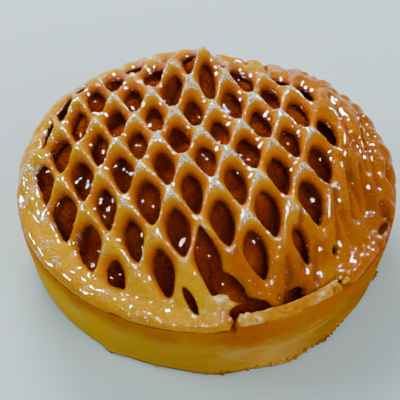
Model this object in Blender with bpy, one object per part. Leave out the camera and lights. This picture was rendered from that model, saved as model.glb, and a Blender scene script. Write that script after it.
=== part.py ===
"""A round apple pie: a straight-sided pastry case, a mound of cooked apple and a domed lattice lid.

Units are metres, +Z is up, and the origin is the middle of the pie's underside.
The front of the pie, where the lid has torn, faces -Y.
"""

import math
import random

import bmesh
import bpy
from mathutils import Vector
from mathutils.geometry import delaunay_2d_cdt

# The case: a shortcrust wall and floor
RIM_RADIUS = 0.068
FOOT_RADIUS = 0.0650
FOOT_ROUND = 0.0012
WALL_BELLY = 0.0005
WALL_THICKNESS = 0.0042
FLOOR_THICKNESS = 0.005
SEAM_HEIGHT = 0.0257
BORE_HEIGHT = 0.0240
LIP_HEIGHT = 0.0303
LIP_ROUND = 0.0008
LIP_LEAN = 0.00016
WALL_LEVELS = (0.3, 0.6, 0.85)

# Browned crumbs that stand out along the foot: angle in degrees, how far out, spread in degrees
CRUMB_HEIGHT = 0.003
CRUMB_FADE = 0.1
FOOT_CRUMBS = ((-119, 0.0008, 2.5), (-86, 0.0014, 8), (-66, 0.0020, 9), (-52, 0.0010, 4), (-21, 0.0008, 3))

# The lid's dome, low at the front and full at the back
DOME_RADIUS = 0.061
BACK_RADIUS = 0.069
DOME_FOOT = 0.0292
DOME_RISE = 0.0240
DOME_POWER = 2.5
BACK_POWER = 3.1
FULLER_OVER = (-0.036, 0.004)

# Pieces of apple that push the lid up, and a place where it sinks: x, y, rise, spread
LUMPS = (
    (-0.0026, 0.0356, 0.0093, 0.0096),
    (0.0170, 0.0609, -0.0156, 0.0121),
    (-0.0518, 0.0303, 0.0084, 0.0114),
    (-0.0060, -0.0180, 0.0015, 0.0140),
)

# The lattice: a slit sheet that is pulled open and laid over the dome
PITCH_ACROSS = 0.01450
PITCH_ALONG = 0.01136
SHEET_CENTRE = (-0.00723, -0.01740)
MIDDLE_ROW = 3
ROW_LEAN = 0.00242
ROW_CURL = 0.00015
ROW_TILT = 0.00254
ROW_FAN = (0.00032, 0.00009)
ROW_SPREAD = 0.00019
ROW_BOW = 0.00110
LAST_ROW = 10
LAST_COLUMN = 5

# The holes, as shares of the pitch each way, and the round zone that they open in
HOLE_WIDTH = 0.285
HOLE_LENGTH = 0.77
HOLE_POINTS = 12
HOLE_TAPER = 1.6
HOLE_UNEVENNESS = 0.14
ZONE_CENTRE = (-0.007, 0.0)
ZONE_RADIUS = 0.0595
ZONE_NARROWING = 0.046
NARROW_SHARE = 0.45
NET_LIMIT = 0.0608
SMALLEST_HOLE = 0.000014
HALVINGS = 12
SEED = 11

# The strands between the holes
STRAND_DEPTH = 0.0048
STRAND_DEPTH_AT_RIM = 0.0030
RIM_THINNING = 0.80
WAIST_DROP = 0.0020
WAIST_SHARE = 0.87

# The tear at the front, in place of the lattice's first hole: its middle, size and slant in pitches
TEAR_COLUMN = 0.05
TEAR_ROW = -0.08
TEAR_WIDTH = 0.37
TEAR_LENGTH = 0.74
TEAR_SLANT = 0.16
TEAR_POINTS = 20
TEAR_RAGGEDNESS = 0.10

# The lid's rim over the wall, and where it lies inside the wall's bare lip: radius, height
NET_RADIUS = 0.062
RIM_PROFILE = ((0.0640, 0.0293), (0.0657, 0.0292), (0.0669, 0.0287), (0.0677, 0.0279), (0.0680, 0.0269))
RIM_UNDER = ((0.0675, 0.0260), (0.0642, 0.0260))
TUCKED_PROFILE = ((0.0624, 0.0289), (0.0628, 0.0287), (0.0632, 0.0283), (0.0634, 0.0277), (0.0635, 0.0269))
TUCKED_UNDER = ((0.0633, 0.0260), (0.0628, 0.0260))
FOLDED_POINTS = 3

# The bare stretch of lip at the front right, in degrees round the pie
TUCK_START = (-84.0, -81.3)
LIP_START = (-80.8, -78.6)
LIP_END = (-50.2, -48.0)
TUCK_END = (-47.5, -44.8)

# Folds pressed into the rim on the right, and its slow unevenness all round
FOLD_HEIGHT = 0.0007
FOLD_COUNT = 50
FOLDS_FROM = (-45.0, -36.0)
FOLDS_TO = (50.0, 64.0)
RIM_UNEVENNESS = 0.0003

# Points round the pie, and those that fill the lid between its holes and its rim
ROUND_STEPS = 96
SHARP_ANGLE = math.radians(40)
FILL_RADII = (0.045, 0.050, 0.0555)
FILL_STEPS = 60
FILL_CLEARANCE = 0.0024
SAME_POINT = 1e-9

# The filling
GAP = 0.0003
FILLING_CLEARANCE = 0.0010
FILLING_RADII = (0.006, 0.012, 0.018, 0.024, 0.030, 0.036, 0.042, 0.047, 0.052, 0.056, 0.0592, 0.0615)
FILLING_STEPS = 56
CHUNK_RELIEF = 0.0012
CHUNK_SIZE = 0.0150


def clear_scene():
    for old in list(bpy.data.objects):
        bpy.data.objects.remove(old)


def material(name, colour, roughness):
    made = bpy.data.materials.new(name)
    made.use_nodes = True
    shader = made.node_tree.nodes["Principled BSDF"]
    shader.inputs["Base Color"].default_value = (*colour, 1.0)
    shader.inputs["Roughness"].default_value = roughness
    shader.inputs["Metallic"].default_value = 0.0
    return made


def shortcrust():
    return material("shortcrust", (0.43, 0.26, 0.06), 0.75)


def glazed_crust():
    return material("glazed_crust", (0.58, 0.30, 0.03), 0.3)


def cooked_apple():
    return material("cooked_apple", (0.13, 0.022, 0.004), 0.2)


def rise(edges, value):
    """From 0 at the first edge to 1 at the second, smoothly."""
    share = min(max((value - edges[0]) / (edges[1] - edges[0]), 0.0), 1.0)
    return share * share * (3 - 2 * share)


def tucked(degrees):
    """1 where the lid lies inside the wall's lip, 0 where it lies over the wall."""
    return rise(TUCK_START, degrees) - rise(TUCK_END, degrees)


def lip_bare(degrees):
    """1 where the wall's lip stands bare, 0 where the lid covers the wall."""
    return rise(LIP_START, degrees) - rise(LIP_END, degrees)


def round_angles():
    """Angles round the pie, from -180 degrees, with more of them where the lid tucks in."""
    angles = {-180 + 360 * step / ROUND_STEPS for step in range(ROUND_STEPS)}
    for start, end in (TUCK_START, LIP_START, LIP_END, TUCK_END):
        angles.update((start, (start + end) / 2, end))
    return sorted(angles)


def polar(radius, degrees, height):
    angle = math.radians(degrees)
    return (radius * math.cos(angle), radius * math.sin(angle), height)


def dome_height(x, y):
    """The height of the lid's top over a point of the plan."""
    fuller = rise(FULLER_OVER, y)
    share = min(math.hypot(x, y) / (DOME_RADIUS + (BACK_RADIUS - DOME_RADIUS) * fuller), 1.0)
    height = DOME_FOOT + DOME_RISE * (1 - share ** (DOME_POWER + (BACK_POWER - DOME_POWER) * fuller))
    for lump_x, lump_y, lump_rise, spread in LUMPS:
        apart = (x - lump_x) ** 2 + (y - lump_y) ** 2
        height += lump_rise * math.exp(-apart / (2 * spread**2)) * (1 - share**4)
    return height


def under_dome(point, depth):
    """The place that far under the dome's top, measured square to it."""
    x, y = point
    step = 0.0005
    slope_x = (dome_height(x + step, y) - dome_height(x - step, y)) / (2 * step)
    slope_y = (dome_height(x, y + step) - dome_height(x, y - step)) / (2 * step)
    normal = Vector((-slope_x, -slope_y, 1.0)).normalized()
    return Vector((x, y, dome_height(x, y))) - normal * depth


def strand_depth(point):
    """The lid's thickness, which runs out towards the rim."""
    thinning = rise((RIM_THINNING * NET_RADIUS, NET_RADIUS), math.hypot(*point))
    return STRAND_DEPTH + (STRAND_DEPTH_AT_RIM - STRAND_DEPTH) * thinning


def sheet_point(column, row):
    """Where a place of the slit sheet comes to lie in plan once it is pulled open."""
    up = row - MIDDLE_ROW
    x = SHEET_CENTRE[0] + PITCH_ACROSS * column - ROW_LEAN * up + ROW_CURL * up**2 - ROW_FAN[0] * column * up
    y = SHEET_CENTRE[1] + PITCH_ALONG * up + ROW_TILT * column + ROW_SPREAD * up**2
    return x, y - ROW_FAN[1] * column * up + ROW_BOW * column**2


def from_zone(point):
    return math.hypot(point[0] - ZONE_CENTRE[0], point[1] - ZONE_CENTRE[1])


def may_open(point):
    """Whether the lid opens there: inside the zone of the holes and clear of the rim."""
    return from_zone(point) < ZONE_RADIUS and math.hypot(*point) < NET_LIMIT


def held_in(point, centre):
    """The point, drawn towards its hole's centre until the lid may open there."""
    if may_open(point):
        return point
    inner, outer = 0.0, 1.0
    for _ in range(HALVINGS):
        share = (inner + outer) / 2
        place = tuple(middle + (value - middle) * share for value, middle in zip(point, centre))
        if may_open(place):
            inner = share
        else:
            outer = share
    return tuple(middle + (value - middle) * inner for value, middle in zip(point, centre))


def pointed(share):
    """Draws a circle's sine or cosine in, so that the outline comes to points."""
    return math.copysign(abs(share) ** HOLE_TAPER, share)


def hole_outline(column, row, width, length):
    """An almond, pointed at both ends of the slit, from its centre's column and row."""
    centre = sheet_point(column, row)
    outline = []
    for step in range(HOLE_POINTS):
        angle = math.tau * step / HOLE_POINTS
        across = pointed(math.cos(angle))
        along = pointed(math.sin(angle))
        outline.append(held_in(sheet_point(column + width * across, row + length * along), centre))
    return outline


def tear_outline(draw):
    """The broken opening at the front: an almond's upper half over a wide, ragged lower half."""
    centre = sheet_point(TEAR_COLUMN, TEAR_ROW)
    outline = []
    for step in range(TEAR_POINTS):
        angle = math.tau * step / TEAR_POINTS
        across = math.cos(angle)
        along = math.sin(angle)
        ragged = 1 + TEAR_RAGGEDNESS * draw.uniform(-1, 1)
        if along > 0:
            across, along, ragged = pointed(across), pointed(along), 1.0
        column = TEAR_COLUMN + TEAR_WIDTH * ragged * across - TEAR_SLANT * min(along, 0)
        outline.append(held_in(sheet_point(column, TEAR_ROW + TEAR_LENGTH * ragged * along), centre))
    return outline


def area_of(outline):
    pairs = zip(outline, outline[1:] + outline[:1])
    return abs(sum(a[0] * b[1] - a[1] * b[0] for a, b in pairs)) / 2


def hole_outlines():
    """Every hole of the lattice: rows staggered by half a pitch, narrower towards the zone's edge."""
    draw = random.Random(SEED)
    outlines = [tear_outline(draw)]
    for row in range(LAST_ROW + 1):
        for place in range(-LAST_COLUMN, LAST_COLUMN + 1):
            column = place + 0.5 * (row % 2)
            uneven = 1 + HOLE_UNEVENNESS * draw.uniform(-1, 1)
            centre = sheet_point(column, row)
            if (column, row) == (0, 0) or not may_open(centre):
                continue
            narrowing = 1 - (1 - NARROW_SHARE) * rise((ZONE_NARROWING, ZONE_RADIUS), from_zone(centre))
            outline = hole_outline(column, row, HOLE_WIDTH * uneven * narrowing, HOLE_LENGTH)
            if area_of(outline) > SMALLEST_HOLE:
                outlines.append(outline)
    return outlines


def centre_of(outline):
    return tuple(sum(values) / len(outline) for values in zip(*outline))


def is_inside(point, outline):
    inside = False
    for start, end in zip(outline, outline[1:] + outline[:1]):
        if (start[1] > point[1]) != (end[1] > point[1]):
            crossing = start[0] + (point[1] - start[1]) * (end[0] - start[0]) / (end[1] - start[1])
            inside ^= point[0] < crossing
    return inside


def distance_to(point, outline):
    return min(math.dist(point, corner) for corner in outline)


def fill_points(outlines):
    """Points that carry the dome's curve over the stretches without holes."""
    points = []
    for radius in FILL_RADII:
        for step in range(FILL_STEPS):
            point = polar(radius, 360 * step / FILL_STEPS, 0)[:2]
            if all(distance_to(point, outline) > FILL_CLEARANCE for outline in outlines):
                if not any(is_inside(point, outline) for outline in outlines):
                    points.append(point)
    return points


def net_plan():
    """The lid in plan: its points, its triangles, and each hole's ring as indices of the points."""
    outlines = hole_outlines()
    points = [polar(NET_RADIUS, degrees, 0)[:2] for degrees in round_angles()]
    loops = [list(range(len(points)))]
    for outline in outlines:
        loops.append(list(range(len(points), len(points) + len(outline))))
        points += outline
    points += fill_points(outlines)
    edges = [pair for loop in loops for pair in zip(loop, loop[1:] + loop[:1])]
    places = [Vector(point) for point in points]
    _, _, faces, origins, _, _ = delaunay_2d_cdt(places, edges, [], 0, SAME_POINT)
    triangles = []
    for face in faces:
        corners = [origins[corner][0] for corner in face]
        middle = centre_of([points[corner] for corner in corners])
        if not any(is_inside(middle, outline) for outline in outlines):
            triangles.append(corners)
    return points, triangles, loops[1:]


def bridge(mesh, first, second):
    """Quads between two rings of as many points."""
    count = len(first)
    for step in range(count):
        after = (step + 1) % count
        mesh.faces.new((first[step], first[after], second[after], second[step]))


def fan(mesh, ring, middle):
    for step in range(len(ring)):
        mesh.faces.new((ring[step], ring[(step + 1) % len(ring)], middle))


def turned_rings(mesh, section_at):
    """Rings round the pie, one for each point of the section, which changes with the angle."""
    sections = []
    for degrees in round_angles():
        places = [polar(radius, degrees, height) for radius, height in section_at(degrees)]
        sections.append([mesh.verts.new(place) for place in places])
    return [list(ring) for ring in zip(*sections)]


def finish(name, mesh, finish_material):
    """One named object from the bmesh, its faces pointing out, smooth but for its sharp corners."""
    bmesh.ops.recalc_face_normals(mesh, faces=mesh.faces)
    data = bpy.data.meshes.new(name)
    mesh.to_mesh(data)
    mesh.free()
    data.materials.append(finish_material)
    data.shade_smooth()
    data.set_sharp_from_angle(angle=SHARP_ANGLE)
    made = bpy.data.objects.new(name, data)
    bpy.context.scene.collection.objects.link(made)
    return made


def foot_reach(degrees):
    """How far the browned crumbs stand out along the foot."""
    reach = 0.0
    for angle, out, spread in FOOT_CRUMBS:
        reach += out * math.exp(-(((degrees - angle) / spread) ** 2))
    return reach


def wall_radius(height):
    """The wall's outside: tapered to the foot, with a slight belly."""
    share = height / LIP_HEIGHT
    return FOOT_RADIUS + (RIM_RADIUS - FOOT_RADIUS) * share + WALL_BELLY * math.sin(math.pi * share)


def bore_foot():
    return wall_radius(FLOOR_THICKNESS) - WALL_THICKNESS


def case_profile(degrees):
    """The case's section at one angle, from under the foot, up the wall and down to the floor."""
    top = SEAM_HEIGHT + (LIP_HEIGHT - SEAM_HEIGHT) * lip_bare(degrees)
    crumbs = foot_reach(degrees)
    section = [(FOOT_RADIUS - FOOT_ROUND + crumbs, 0.0), (FOOT_RADIUS + crumbs, FOOT_ROUND)]
    section.append((wall_radius(CRUMB_HEIGHT) + CRUMB_FADE * crumbs, CRUMB_HEIGHT))
    for level in WALL_LEVELS:
        section.append((wall_radius(level * SEAM_HEIGHT), level * SEAM_HEIGHT))
    section.append((wall_radius(top) - LIP_LEAN, top - LIP_ROUND))
    section.append((wall_radius(top) - LIP_ROUND, top))
    inner = RIM_RADIUS - WALL_THICKNESS
    section.append((inner + LIP_ROUND, top))
    section.append((inner, top - LIP_ROUND))
    section.append((inner, BORE_HEIGHT))
    section.append((bore_foot(), FLOOR_THICKNESS))
    return section


def crust_case():
    mesh = bmesh.new()
    rings = turned_rings(mesh, case_profile)
    for lower, upper in zip(rings, rings[1:]):
        bridge(mesh, lower, upper)
    fan(mesh, rings[0], mesh.verts.new((0, 0, 0)))
    fan(mesh, rings[-1], mesh.verts.new((0, 0, FLOOR_THICKNESS)))
    return finish("crust_case", mesh, shortcrust())


def rim_lift(degrees):
    """Folds pressed into the rim on the right, and its unevenness elsewhere."""
    angle = math.radians(degrees)
    folded = rise(FOLDS_FROM, degrees) - rise(FOLDS_TO, degrees)
    folds = FOLD_HEIGHT * math.cos(FOLD_COUNT * angle) * folded
    slow = math.sin(3 * angle + 1) + 0.7 * math.sin(8 * angle) + 0.5 * math.sin(13 * angle + 2)
    return folds + RIM_UNEVENNESS * slow


def rim_section(degrees):
    """The lid's edge at one angle: the dome's run down to the rim, then back under it."""
    share = tucked(degrees)
    section = []
    for place, (over, inside) in enumerate(zip(RIM_PROFILE, TUCKED_PROFILE)):
        radius = over[0] + (inside[0] - over[0]) * share
        height = over[1] + (inside[1] - over[1]) * share
        height += dome_height(*polar(radius, degrees, 0)[:2]) - DOME_FOOT
        if place < FOLDED_POINTS:
            height += rim_lift(degrees) * (1 - share)
        section.append((radius, height))
    for over, inside in zip(RIM_UNDER, TUCKED_UNDER):
        section.append((over[0] + (inside[0] - over[0]) * share, over[1]))
    return section


def add_rim(mesh, top_ring, bottom_ring):
    """The rim's rings, from the net's top edge round to its underside."""
    rings = [top_ring, *turned_rings(mesh, rim_section), bottom_ring]
    for outer, inner in zip(rings, rings[1:]):
        bridge(mesh, outer, inner)


def add_hole_walls(mesh, points, loop, top, bottom):
    """A hole's wall, with the strands widest at half their depth."""
    middle = centre_of([points[index] for index in loop])
    waist = []
    for index in loop:
        point = tuple(m + (value - m) * WAIST_SHARE for value, m in zip(points[index], middle))
        drop = WAIST_DROP * strand_depth(point) / STRAND_DEPTH
        waist.append(mesh.verts.new(under_dome(point, drop)))
    bridge(mesh, [top[index] for index in loop], waist)
    bridge(mesh, waist, [bottom[index] for index in loop])


def lattice_lid():
    mesh = bmesh.new()
    points, triangles, loops = net_plan()
    top = [mesh.verts.new(under_dome(point, 0)) for point in points]
    bottom = [mesh.verts.new(under_dome(point, strand_depth(point))) for point in points]
    for a, b, c in triangles:
        mesh.faces.new((top[a], top[b], top[c]))
        mesh.faces.new((bottom[c], bottom[b], bottom[a]))
    for loop in loops:
        add_hole_walls(mesh, points, loop, top, bottom)
    count = len(round_angles())
    add_rim(mesh, top[:count], bottom[:count])
    return finish("lattice_lid", mesh, glazed_crust())


def chunk_drop(x, y):
    """How far the filling dips between its pieces of apple."""
    wave = math.tau / CHUNK_SIZE
    bumps = math.sin(wave * x) * math.sin(wave * y) + 0.6 * math.sin(wave * (x + 0.7 * y) + 1)
    return CHUNK_RELIEF * (1 - bumps / 1.6) / 2


def filling_top(radius, degrees):
    """A place on the filling's top, clear of the lid all over."""
    point = polar(radius, degrees, 0)[:2]
    depth = strand_depth(point) + FILLING_CLEARANCE + chunk_drop(*point)
    return under_dome(point, depth)


def apple_filling():
    mesh = bmesh.new()
    angles = [360 * step / FILLING_STEPS for step in range(FILLING_STEPS)]
    peak = mesh.verts.new(filling_top(0, 0))
    rings = []
    for radius in FILLING_RADII:
        rings.append([mesh.verts.new(filling_top(radius, degrees)) for degrees in angles])
    floor = FLOOR_THICKNESS + GAP
    shoulder = RIM_RADIUS - WALL_THICKNESS - GAP
    foot = bore_foot() - GAP
    for radius, height in ((shoulder, BORE_HEIGHT - CHUNK_RELIEF), (foot, floor)):
        rings.append([mesh.verts.new(polar(radius, degrees, height)) for degrees in angles])
    fan(mesh, rings[0], peak)
    for upper, lower in zip(rings, rings[1:]):
        bridge(mesh, upper, lower)
    fan(mesh, rings[-1], mesh.verts.new((0, 0, floor)))
    return finish("apple_filling", mesh, cooked_apple())


def build_pie():
    clear_scene()
    crust_case()
    apple_filling()
    lattice_lid()


build_pie()
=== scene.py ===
"""Dresses a packed apple pie: its crust, its glaze, its filling and its crumbs, on a pale floor.

The file is laid out as an add-on and is run as a script. Everything is in metres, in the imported
model's frame: +Z is up, the origin is the middle of the pie's underside, and the torn front of the
lid faces -Y.
"""

import math
import random
from functools import reduce

import bmesh
import bpy
from bpy.props import FloatProperty, FloatVectorProperty, IntProperty, PointerProperty
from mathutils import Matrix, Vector, noise


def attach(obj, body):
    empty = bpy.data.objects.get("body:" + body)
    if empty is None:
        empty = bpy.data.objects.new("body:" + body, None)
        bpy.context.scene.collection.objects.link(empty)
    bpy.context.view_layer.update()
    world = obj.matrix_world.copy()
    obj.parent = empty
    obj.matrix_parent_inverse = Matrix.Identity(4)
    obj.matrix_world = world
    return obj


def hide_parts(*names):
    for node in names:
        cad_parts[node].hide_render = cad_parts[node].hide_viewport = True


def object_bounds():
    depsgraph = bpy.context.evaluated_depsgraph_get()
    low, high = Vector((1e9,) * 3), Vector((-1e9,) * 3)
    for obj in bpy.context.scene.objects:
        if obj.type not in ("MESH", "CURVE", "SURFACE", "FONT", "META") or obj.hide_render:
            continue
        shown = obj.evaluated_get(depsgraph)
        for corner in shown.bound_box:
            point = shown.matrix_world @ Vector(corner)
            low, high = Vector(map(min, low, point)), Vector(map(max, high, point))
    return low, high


bl_info = {
    "name": "Lattice apple pie",
    "version": (1, 0, 0),
    "blender": (4, 5, 0),
    "location": "3D View > Sidebar > Pie",
    "description": "Makes the crust, the glaze, the filling and the crumbs of a raised lattice apple pie",
    "category": "Object",
}

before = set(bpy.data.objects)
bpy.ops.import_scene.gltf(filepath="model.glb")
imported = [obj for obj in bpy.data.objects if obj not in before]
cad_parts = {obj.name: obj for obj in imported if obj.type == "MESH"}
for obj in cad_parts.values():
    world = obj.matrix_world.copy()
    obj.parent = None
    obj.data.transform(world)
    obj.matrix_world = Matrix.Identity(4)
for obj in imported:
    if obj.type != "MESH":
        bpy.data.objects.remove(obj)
CAD_LOW, CAD_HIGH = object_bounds()

# Pieces of apple that push the lid up, and a place where it sinks: x, y, rise, spread
LUMPS = (
    (-0.0026, 0.0356, 0.0093, 0.0096),
    (0.0170, 0.0609, -0.0156, 0.0121),
    (-0.0518, 0.0303, 0.0084, 0.0114),
    (-0.0060, -0.0180, 0.0015, 0.0140),
)

# Where the lid lies inside the wall's bare lip at the front right, in degrees round the pie
TUCK_START = (-84.0, -81.3)
LIP_START = (-82.4, -80.2)
LIP_END = (-50.2, -48.0)
TUCK_END = (-47.5, -44.8)

# The openings that make up the tear in front: x, y, half width, half length, degrees of the long way
TEARS = (
    (0.0003, -0.0485, 0.0036, 0.0100, -74),
    (0.0078, -0.0556, 0.0033, 0.0072, -20),
    (0.0143, -0.0604, 0.0027, 0.0080, 13),
)

# Small slits of their own near the rim, as above
SLITS = (
    (-0.0049, -0.0588, 0.0013, 0.0046, -52),
    (0.0284, -0.0545, 0.0014, 0.0046, 38),
    (0.0429, -0.0384, 0.0009, 0.0020, 80),
    (0.0601, -0.0246, 0.0011, 0.0036, 65),
    (0.0560, 0.0080, 0.0007, 0.0110, 98),
)

# Creases pressed into the lid where slits stayed shut: x, y, half length, degrees of the long way
CREASES = (
    (0.0264, -0.0500, 0.0046, 90),
    (0.0316, -0.0385, 0.0082, 92),
    (0.0362, -0.0440, 0.0050, 84),
    (0.0440, -0.0270, 0.0080, 93),
    (0.0492, -0.0180, 0.0085, 96),
    (0.0545, -0.0140, 0.0070, 100),
    (0.0505, 0.0060, 0.0080, 98),
    (0.0590, -0.0040, 0.0070, 96),
)

# Rough lumps of pastry at the ends of torn strands: x, y, z, and half sizes in x, y and z
FLAKES = (
    (0.0028, -0.0588, 0.0303, 0.0019, 0.0016, 0.0012),
    (0.0052, -0.0580, 0.0311, 0.0022, 0.0015, 0.0013),
    (0.0070, -0.0588, 0.0301, 0.0015, 0.0013, 0.0011),
    (0.0103, -0.0612, 0.0290, 0.0017, 0.0013, 0.0011),
    (0.0124, -0.0606, 0.0297, 0.0018, 0.0012, 0.0010),
)

# Browned spots on the lid: x, y, radius
BROWNED_SPOTS = ((0.0120, -0.0465, 0.0100), (0.0290, -0.0510, 0.0090), (0.0580, -0.0180, 0.0110))

# Browned crumbs along the foot: angle in degrees, how far out, spread in degrees
FOOT_CRUMBS = ((-119, 0.0008, 2.5), (-86, 0.0014, 8), (-66, 0.0020, 9), (-52, 0.0010, 4), (-21, 0.0008, 3))

# The broken ends of the bare lip, where crumbs lie: angle and spread in degrees
LIP_ENDS = ((-49, 2.0), (-79, 1.2))

# Where crumbs lie: how far out along the foot and on the lip, and how high at each
FOOT_OUT = 0.0650
LIP_OUT = (0.0645, 0.0675)
FOOT_HEIGHTS = (0.0011, 0.0016)
LIP_HEIGHTS = (0.0294, 0.0304)

# How far up the wall the crust swells out with the crumbs
CRUMBS_UP = 0.0016

# What turns and stretches each crumb its own way
CRUMB_SEED = 3

# The groove along the seam at the front left: radius, half width, depth, and its ends in degrees
SEAM_RADIUS = 0.0650
SEAM_WIDTH = 0.0009
SEAM_DEPTH = 0.0006
SEAM_START = (-117, -112)
SEAM_END = (-84, -82)

# The folds pressed into the rim on the right: how many a full turn would hold, and the ends in degrees
FOLDS_IN_TURN = 50
FOLDS_START = (-45, -30)
FOLDS_END = (50, 64)

# How far out the lid gets thinner, comes down over the wall, gets lumpy, is folded and is drawn out
THINNER = (0.0496, 0.062)
OVER_WALL = (0.0615, 0.0635)
LUMPY = (0.050, 0.0575)
FOLDED = (0.056, 0.0625)
DRAWN_OUT = (0.050, 0.056)

# Steps that bring a place of the plan back to the slit sheet's column and row
SHEET_STEPS = 4

# The row of slits that the sheet's middle lies on
MIDDLE_ROW = 3

# How far apart two heights are taken to find the dome's slope
SLOPE_STEP = 0.0005

# Farther than any slope or rounding reaches
OUT_OF_REACH = 0.02

# Grid steps that a solid's edge is spread over, how often the grid's steps are smoothed out of a skin,
# and how many vertices an island needs to be kept
EDGE_STEPS = 4
SMOOTHINGS = 2
SMALLEST_ISLAND = 200

# Steps of the case's section: round the foot and the lip, up the wall, and over the lip
ROUND_STEPS = 3
WALL_STEPS = 26
LIP_STEPS = 7


def length(name, description, default):
    return FloatProperty(name=name, description=description, default=default, unit="LENGTH", precision=5)


def share(name, description, default):
    return FloatProperty(name=name, description=description, default=default, subtype="FACTOR")


def number(name, description, default):
    return FloatProperty(name=name, description=description, default=default)


def whole(name, description, default):
    return IntProperty(name=name, description=description, default=default)


def colour(name, description, default):
    return FloatVectorProperty(name=name, description=description, default=default, size=3, subtype="COLOR")


class PieDomeSizes(bpy.types.PropertyGroup):
    """The dome that the lid and the filling share."""

    dome_radius: length("Dome radius", "How far out the dome reaches in front", 0.061)
    back_radius: length("Back radius", "How far out it reaches at the back", 0.069)
    fuller_from: length("Fuller from", "Where the dome starts to be fuller, front to back", -0.036)
    fuller_to: length("Fuller to", "Where it has its full shape", 0.004)
    dome_foot: length("Dome foot", "Height of the lid's top at the rim", 0.0292)
    dome_rise: length("Dome rise", "How far the dome rises above its foot", 0.0240)
    dome_power: number("Dome power", "How flat the dome is on top in front", 2.5)
    back_power: number("Back power", "How flat it is on top at the back", 3.1)
    strand_depth: length("Strand depth", "The lid's thickness", 0.0048)
    rim_depth: length("Rim depth", "The lid's thickness at the rim", 0.0030)
    rim_drop: length("Rim drop", "How far down the lid may reach over the wall", 0.0200)


class PieLidSizes(bpy.types.PropertyGroup):
    """The lattice lid: a slit sheet, pulled open over a dome, with a rim that lies over the wall."""

    pitch_across: length("Pitch across", "From one column of slits to the next", 0.01450)
    pitch_along: length("Pitch along", "From one row of slits to the next", 0.01136)
    sheet_x: length("Sheet X", "The sheet's middle, left to right", -0.00723)
    sheet_y: length("Sheet Y", "The sheet's middle, front to back", -0.01740)
    row_lean: length("Row lean", "How far each row lies to the left of the one in front", 0.00242)
    row_curl: length("Row curl", "How much that lean eases off", 0.00015)
    row_tilt: length("Row tilt", "How far a row rises to the right, for each column", 0.00254)
    fan_across: length("Fan across", "How the columns close up towards the back", 0.00032)
    fan_along: length("Fan along", "How the rows turn towards the back", 0.00009)
    row_spread: length("Row spread", "How the rows open out", 0.00019)
    row_bow: length("Row bow", "How a row bows back at both ends", 0.00110)
    hole_width: length("Hole width", "Half the width of a hole's pointed core", 0.0026)
    hole_length: length("Hole length", "Half the length of that core", 0.0066)
    hole_shift: length("Hole shift", "How far the core lies in front of the slit's middle", 0.0004)
    hole_corner: length("Hole corner", "How far the hole's rounded edge stands off its core", 0.0002)
    hole_arch: share("Hole arch", "How much wider a hole is in its upper half", 0.06)
    hole_unevenness: share("Hole unevenness", "How much the holes differ in width", 0.14)
    sheet_unevenness: length("Sheet unevenness", "How far the strands stray", 0.0006)
    zone_x: length("Zone X", "The middle of the round zone of the holes", -0.007)
    zone_radius: length("Zone radius", "How far from there the holes open", 0.0572)
    zone_narrowing: length("Zone narrowing", "From how far out the holes get narrower", 0.050)
    net_limit: length("Net limit", "How far from the pie's middle a hole may reach", 0.0595)
    narrowing: share("Narrowing", "How much narrower the outermost holes are", 0.62)
    groove_depth: length("Groove depth", "How deep the closed slits are", 0.0022)
    groove_width: length("Groove width", "How far a closed slit's slope reaches", 0.0018)
    lip_slope: length("Lip slope", "How wide a strand's steep drop into the hole behind it is", 0.0016)
    front_slope: length("Front slope", "How wide a strand's slope down to the hole in front of it is", 0.0043)
    slope_blend: length("Slope blend", "How softly the slopes start at the top", 0.0012)
    tear_raggedness: length("Tear raggedness", "How ragged the tear's edge is", 0.0011)
    crease_depth: length("Crease depth", "How deep the creases are", 0.0019)
    crease_width: length("Crease width", "How far a crease's slope reaches", 0.0023)
    pimple_height: length("Pimple height", "How high the blisters of the glaze stand", 0.00035)
    rim_radius: length("Rim radius", "The lid's outer radius", 0.0679)
    tucked_radius: length("Tucked radius", "Its radius inside the bare lip", 0.0636)
    rim_round: length("Rim round", "The rounding of the lid's outer edge", 0.0030)
    rim_under: length("Rim underside", "The height of the lid's underside over the wall", 0.0260)
    rim_lumps: length("Rim lumps", "How high the glazed lumps of the rim are", 0.0010)
    rim_chips: length("Rim chips", "How far up the rim's lower edge is chipped", 0.0018)
    glaze_ridges: length("Glaze ridges", "How high the drawn-out ridges of the glaze are", 0.0010)
    glaze_draw: length("Glaze draw", "Their spacing round the pie, for each degree", 0.00035)
    fold_height: length("Fold height", "How high the folds pressed into the rim are", 0.0006)
    voxel: length("Voxel", "The size of the grid that the lid is modelled in", 0.00074)


class PieFillingSizes(bpy.types.PropertyGroup):
    """The mound of cooked apple."""

    clearance: length("Clearance", "From the lid's underside down to the filling", 0.0006)
    chunk_size: length("Chunk size", "How large a piece of apple is", 0.0125)
    chunk_relief: length("Chunk relief", "How deep the gaps between the pieces are", 0.0026)
    side_radius: length("Side radius", "The mound's radius inside the wall", 0.0634)
    side_taper: share("Side taper", "How the wall's inside closes towards the floor", 0.120)
    floor_height: length("Floor height", "The height of the mound's underside", 0.0053)
    voxel: length("Voxel", "The size of the grid that the mound is modelled in", 0.0010)


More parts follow.
